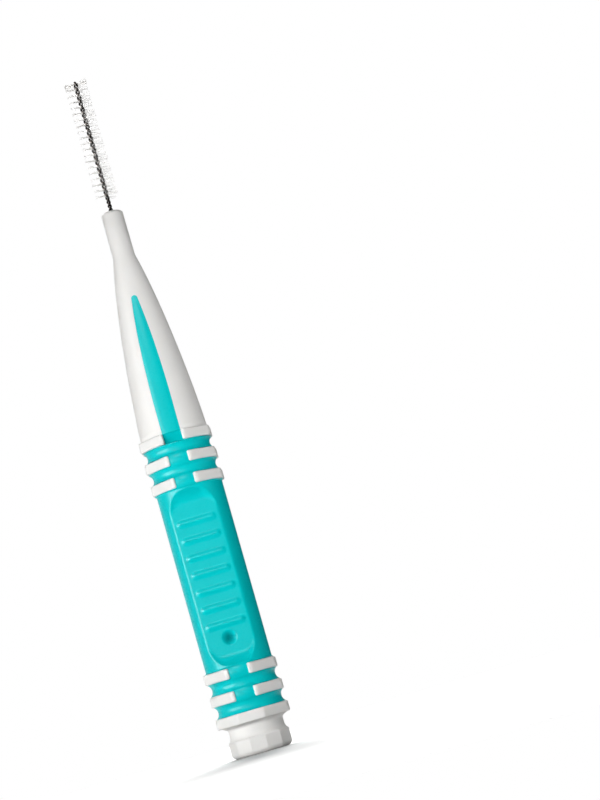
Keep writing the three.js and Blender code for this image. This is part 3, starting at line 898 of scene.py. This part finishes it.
paper, tree = new_material("white_paper")
seen = seen_directly(tree)
tint = blend(tree, seen, linear(PAPER_BOUNCE), linear(PAPER_COLOUR))
matte = add(tree, "ShaderNodeBsdfDiffuse", {"Color": tint})
level = add(tree, "ShaderNodeMath", {0: seen, 1: PAPER_GLOW}, operation="MULTIPLY")
glow = add(tree, "ShaderNodeEmission", {"Strength": level.outputs[0]})
lit = add(tree, "ShaderNodeAddShader", {0: matte.outputs[0], 1: glow.outputs[0]})
add(tree, "ShaderNodeOutputMaterial", {"Surface": lit.outputs[0]})
floor.data.materials.append(paper)

# A dark card at the back right is mirrored in the tool's right edge, and is not seen otherwise.
CARD_COLOUR = "#202020"
CARD_BEARING = 128.0
CARD_DISTANCE = 150.0
CARD_WIDTH = 260.0
CARD_HEIGHT = 300.0

card_turn = math.radians(CARD_BEARING)
card_middle = Vector((math.sin(card_turn), -math.cos(card_turn), 0.0)) * CARD_DISTANCE
card_side = Vector((math.cos(card_turn), math.sin(card_turn), 0.0)) * CARD_WIDTH / 2.0
card_rise = Vector((0.0, 0.0, CARD_HEIGHT))
card_corners = [card_middle - card_side, card_middle + card_side]
card_corners += [corner + card_rise for corner in reversed(card_corners)]
card = flat_sheet("dark_card", card_corners)
card.visible_camera = False
card.visible_diffuse = False
card.visible_transmission = False
card.visible_shadow = False
card_paint, tree = new_material("matte_black_card")
matte = add(tree, "ShaderNodeBsdfDiffuse", {"Color": linear(CARD_COLOUR)})
add(tree, "ShaderNodeOutputMaterial", {"Surface": matte.outputs[0]})
card.data.materials.append(card_paint)

# The surroundings show white, and give the tool little light.
world = bpy.data.worlds.new("white_studio")
world.use_nodes = True
tree = world.node_tree
tree.nodes.clear()
level = spread(tree, seen_directly(tree), (SURROUND_LEVEL, 1.0))
air = add(tree, "ShaderNodeBackground", {"Color": linear("#ffffff"), "Strength": level})
add(tree, "ShaderNodeOutputWorld", {"Surface": air.outputs[0]})
bpy.context.scene.world = world


def lamp(name, bearing, height, distance, size, brightness, lights=True, mirrored=True):
    """A panel aimed at the tool's middle. Its bearing is in degrees to the right of the front."""
    light = bpy.data.lights.new(name, "AREA")
    light.shape = "RECTANGLE"
    light.size = size[0] * MM
    light.size_y = size[1] * MM
    light.energy = brightness * math.pi * light.size * light.size_y
    turn = math.radians(bearing)
    spot = Vector((math.sin(turn) * distance, -math.cos(turn) * distance, height)) * MM
    aim = Vector((0.0, 0.0, wire_tip / 2.0)) * MM
    panel = bpy.data.objects.new(name, light)
    panel.location = spot
    panel.rotation_euler = (aim - spot).to_track_quat("-Z", "Y").to_euler()
    panel.visible_diffuse = lights
    panel.visible_glossy = mirrored
    bpy.context.scene.collection.objects.link(panel)
    return panel


lamp("softbox_gloss", -52.0, 40.0, 300.0, (240.0, 260.0), 52.0, lights=False)
lamp("front_gloss", -9.0, 245.0, 300.0, (110.0, 60.0), 62.0, lights=False)
tool_lights = [
    lamp("softbox", -50.0, 40.0, 300.0, (260.0, 260.0), 1.45, mirrored=False),
    lamp("front_fill", 0.0, 80.0, 400.0, (240.0, 240.0), 1.7, mirrored=False),
    lamp("low_fill", -20.0, 5.0, 120.0, (76.0, 76.0), 8.6, mirrored=False),
    lamp("left_fill", -85.0, 8.0, 50.0, (25.0, 25.0), 1.5, mirrored=False),
    lamp("right_fill", 70.0, 48.0, 45.0, (30.0, 30.0), 1.45, mirrored=False),
    lamp("upper_right", 90.0, 110.0, 70.0, (50.0, 50.0), 1.1, mirrored=False),
    lamp("back_light", 184.5, 830.0, 760.0, (310.0, 310.0), 30.0, mirrored=False),
]
paper_lights = [
    lamp("paper_light", 182.0, 870.0, 710.0, (310.0, 310.0), 55.0, mirrored=False),
    lamp("paper_side", 105.0, 200.0, 300.0, (120.0, 120.0), 10.0, mirrored=False),
]

# The lamps of the tool stay off the paper, and those of the paper light nothing else.
for panels, state in ((tool_lights, "EXCLUDE"), (paper_lights, "INCLUDE")):
    paper_rule = bpy.data.collections.new("paper_" + state.lower())
    paper_rule.objects.link(floor)
    paper_rule.collection_objects[0].light_linking.link_state = state
    for panel in panels:
        panel.light_linking.receiver_collection = paper_rule


# The camera
# It stands low and near the foot. The tip's and the foot's places in the picture fix its focal length
# and its roll, because the angle between them and the direction to each are known.
PICTURE = (600, 800)
TIP_PIXEL = (74.5, 81.3)
FOOT_PIXEL = (263.5, 752.1)
CAMERA_DISTANCE = 235.0
CAMERA_HEIGHT = 4.0
CAMERA_BEARING = 3.5
TIP_LEVEL = 80.0
SENSOR_HEIGHT = 36.0
FOCAL_RANGE = (500.0, 8000.0)
FOCAL_HALVINGS = 60

bearing = math.radians(CAMERA_BEARING)
eye = Vector((math.sin(bearing) * CAMERA_DISTANCE, -math.cos(bearing) * CAMERA_DISTANCE, CAMERA_HEIGHT))
to_tip = (Vector((0.0, 0.0, TIP_LEVEL)) - eye).normalized()
to_foot = (Vector((0.0, 0.0, 0.0)) - eye).normalized()


def pixel_ray(pixel, focal):
    """The direction of a pixel from the camera, in the camera's own axes."""
    return Vector((pixel[0] - PICTURE[0] / 2.0, PICTURE[1] / 2.0 - pixel[1], -focal)).normalized()


def axes(first, second):
    """Three square directions set by two rays."""
    across = first.cross(second).normalized()
    return Matrix((first, across, first.cross(across))).transposed()


near, far = FOCAL_RANGE
for _ in range(FOCAL_HALVINGS):
    focal = (near + far) / 2.0
    if pixel_ray(TIP_PIXEL, focal).angle(pixel_ray(FOOT_PIXEL, focal)) > to_tip.angle(to_foot):
        near = focal
    else:
        far = focal
seen = axes(pixel_ray(TIP_PIXEL, focal), pixel_ray(FOOT_PIXEL, focal))
turn = axes(to_tip, to_foot) @ seen.transposed()

lens = bpy.data.cameras.new("camera")
lens.sensor_fit = "VERTICAL"
lens.sensor_height = SENSOR_HEIGHT
lens.lens = focal * SENSOR_HEIGHT / PICTURE[1]
camera = bpy.data.objects.new("camera", lens)
camera.matrix_world = Matrix.Translation(eye * MM) @ turn.to_4x4()
bpy.context.scene.collection.objects.link(camera)
bpy.context.scene.camera = camera
